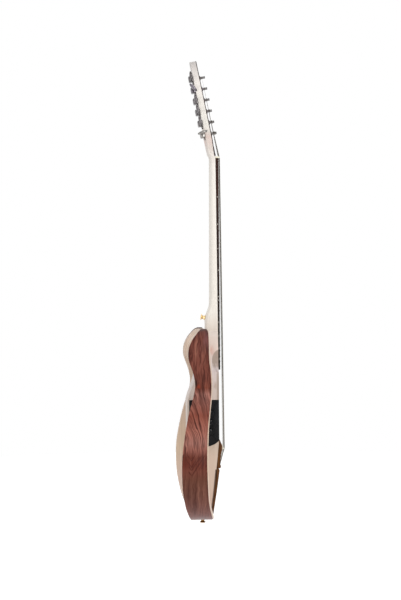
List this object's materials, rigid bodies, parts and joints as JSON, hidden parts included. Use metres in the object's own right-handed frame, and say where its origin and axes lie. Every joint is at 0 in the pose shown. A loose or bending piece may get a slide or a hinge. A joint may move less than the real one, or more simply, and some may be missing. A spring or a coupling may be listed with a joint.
{
  "type": "silent guitar",
  "caption": "Steel-string silent guitar: maple neck on a slim wooden core, open bent rosewood-faced side frames, in-line tilted head, side control panel.",
  "frame": {"origin": "on the fingerboard's front plane, on the centre line, at the nut's inner edge", "axes": "+Z along the strings towards the head, -Y out of the front, -X to the bass side"},
  "size_m": [0.351, 0.1021, 1.0434],
  "materials": {
    "maple": "satin",
    "rosewood": "satin",
    "ebony": "oiled",
    "dark_wood": "satin",
    "bone": "polished",
    "nickel": "polished",
    "dark_chrome": "polished",
    "steel": "wound and plain",
    "gold": "polished plating",
    "black_plastic": "satin",
    "circuit_board": "satin",
    "cell_casing": "satin"
  },
  "bodies": {
    "instrument": {"bass_frame_liner": "maple", "bass_frame_outer": "rosewood", "block_screw_bass": "nickel", "block_screw_treble": "nickel", "bridge": "dark_wood", "control_panel": "black_plastic", "core_body": "maple", "fingerboard": "ebony", "frame_screw_bass_lower": "nickel", "frame_screw_bass_upper": "nickel", "frame_screw_treble_lower": "nickel", "frame_screw_treble_upper": "nickel", "headstock_overlay": "ebony", "jack_socket_line": "nickel", "jack_socket_phones": "nickel", "neck": "maple", "nut": "bone", "pickup_strip": "steel", "preamp_board": "circuit_board", "saddle": "bone", "shoulder_block": "maple", "strap_button_heel": "gold", "strap_button_tail": "gold", "string_1": "steel", "string_2": "steel", "string_3": "steel", "string_4": "steel", "string_5": "steel", "string_6": "steel", "tail_wedge": "dark_wood", "treble_frame_liner": "maple", "treble_frame_outer": "rosewood", "truss_rod": "steel", "truss_rod_cover": "black_plastic", "tuner_housing_1": "dark_chrome", "tuner_housing_2": "dark_chrome", "tuner_housing_3": "dark_chrome", "tuner_housing_4": "dark_chrome", "tuner_housing_5": "dark_chrome", "tuner_housing_6": "dark_chrome"},
    "tuner_1_button": {"tuner_button_1": "dark_chrome"},
    "tuner_1_post": {"tuner_post_1": "nickel"},
    "tuner_2_button": {"tuner_button_2": "dark_chrome"},
    "tuner_2_post": {"tuner_post_2": "nickel"},
    "tuner_3_button": {"tuner_button_3": "dark_chrome"},
    "tuner_3_post": {"tuner_post_3": "nickel"},
    "tuner_4_button": {"tuner_button_4": "dark_chrome"},
    "tuner_4_post": {"tuner_post_4": "nickel"},
    "tuner_5_button": {"tuner_button_5": "dark_chrome"},
    "tuner_5_post": {"tuner_post_5": "nickel"},
    "tuner_6_button": {"tuner_button_6": "dark_chrome"},
    "tuner_6_post": {"tuner_post_6": "nickel"},
    "volume_knob": {"knob_volume": "black_plastic"},
    "bass_knob": {"knob_bass": "black_plastic"},
    "treble_knob": {"knob_treble": "black_plastic"},
    "power_switch": {"power_button": "black_plastic"},
    "drawer": {"battery_drawer": "black_plastic", "battery": "cell_casing"}
  },
  "joints": [
    {"name": "tuner_1_button_turn", "type": "hinge", "parent": "instrument", "child": "tuner_1_button", "pos_m": [-0.0335, 0.037, 0.05435], "axis": [-1, 0, 0], "continuous": true},
    {"name": "tuner_1_post_turn", "type": "hinge", "parent": "instrument", "child": "tuner_1_post", "pos_m": [-0.0205, 0.01658, 0.05493], "axis": [0, -0.9845, 0.1754], "continuous": true},
    {"name": "tuner_2_button_turn", "type": "hinge", "parent": "instrument", "child": "tuner_2_button", "pos_m": [-0.02635, 0.04162, 0.08028], "axis": [-1, 0, 0], "continuous": true},
    {"name": "tuner_2_post_turn", "type": "hinge", "parent": "instrument", "child": "tuner_2_post", "pos_m": [-0.01335, 0.02121, 0.08087], "axis": [0, -0.9845, 0.1754], "continuous": true},
    {"name": "tuner_3_button_turn", "type": "hinge", "parent": "instrument", "child": "tuner_3_button", "pos_m": [-0.01947, 0.04624, 0.10621], "axis": [-1, 0, 0], "continuous": true},
    {"name": "tuner_3_post_turn", "type": "hinge", "parent": "instrument", "child": "tuner_3_post", "pos_m": [-0.00647, 0.02582, 0.1068], "axis": [0, -0.9845, 0.1754], "continuous": true},
    {"name": "tuner_4_button_turn", "type": "hinge", "parent": "instrument", "child": "tuner_4_button", "pos_m": [-0.0129, 0.05086, 0.13214], "axis": [-1, 0, 0], "continuous": true},
    {"name": "tuner_4_post_turn", "type": "hinge", "parent": "instrument", "child": "tuner_4_post", "pos_m": [0.0001, 0.03044, 0.13273], "axis": [0, -0.9845, 0.1754], "continuous": true},
    {"name": "tuner_5_button_turn", "type": "hinge", "parent": "instrument", "child": "tuner_5_button", "pos_m": [-0.0066, 0.05547, 0.15807], "axis": [-1, 0, 0], "continuous": true},
    {"name": "tuner_5_post_turn", "type": "hinge", "parent": "instrument", "child": "tuner_5_post", "pos_m": [0.0064, 0.03506, 0.15866], "axis": [0, -0.9845, 0.1754], "continuous": true},
    {"name": "tuner_6_button_turn", "type": "hinge", "parent": "instrument", "child": "tuner_6_button", "pos_m": [-0.00062, 0.06009, 0.18401], "axis": [-1, 0, 0], "continuous": true},
    {"name": "tuner_6_post_turn", "type": "hinge", "parent": "instrument", "child": "tuner_6_post", "pos_m": [0.01238, 0.03968, 0.18459], "axis": [0, -0.9845, 0.1754], "continuous": true},
    {"name": "volume_turn", "type": "hinge", "parent": "instrument", "child": "volume_knob", "pos_m": [-0.05, 0.0245, -0.57], "axis": [-1, 0, 0], "range_deg": [-150, 150]},
    {"name": "bass_turn", "type": "hinge", "parent": "instrument", "child": "bass_knob", "pos_m": [-0.05, 0.0245, -0.59], "axis": [-1, 0, 0], "range_deg": [-150, 150]},
    {"name": "treble_turn", "type": "hinge", "parent": "instrument", "child": "treble_knob", "pos_m": [-0.05, 0.0245, -0.61], "axis": [-1, 0, 0], "range_deg": [-150, 150]},
    {"name": "power_push", "type": "slide", "parent": "instrument", "child": "power_switch", "axis": [1, 0, 0], "range_m": [0, 0.0015], "stiffness_N_per_m": 400, "springref_m": -0.0006},
    {"name": "drawer_slide", "type": "slide", "parent": "instrument", "child": "drawer", "axis": [1, 0, 0], "range_m": [0, 0.052]}
  ],
  "couplings": [
    {"joint": "tuner_1_post_turn", "follows": "tuner_1_button_turn", "ratio": 0.066667},
    {"joint": "tuner_2_post_turn", "follows": "tuner_2_button_turn", "ratio": 0.066667},
    {"joint": "tuner_3_post_turn", "follows": "tuner_3_button_turn", "ratio": 0.066667},
    {"joint": "tuner_4_post_turn", "follows": "tuner_4_button_turn", "ratio": 0.066667},
    {"joint": "tuner_5_post_turn", "follows": "tuner_5_button_turn", "ratio": 0.066667},
    {"joint": "tuner_6_post_turn", "follows": "tuner_6_button_turn", "ratio": 0.066667}
  ]
}
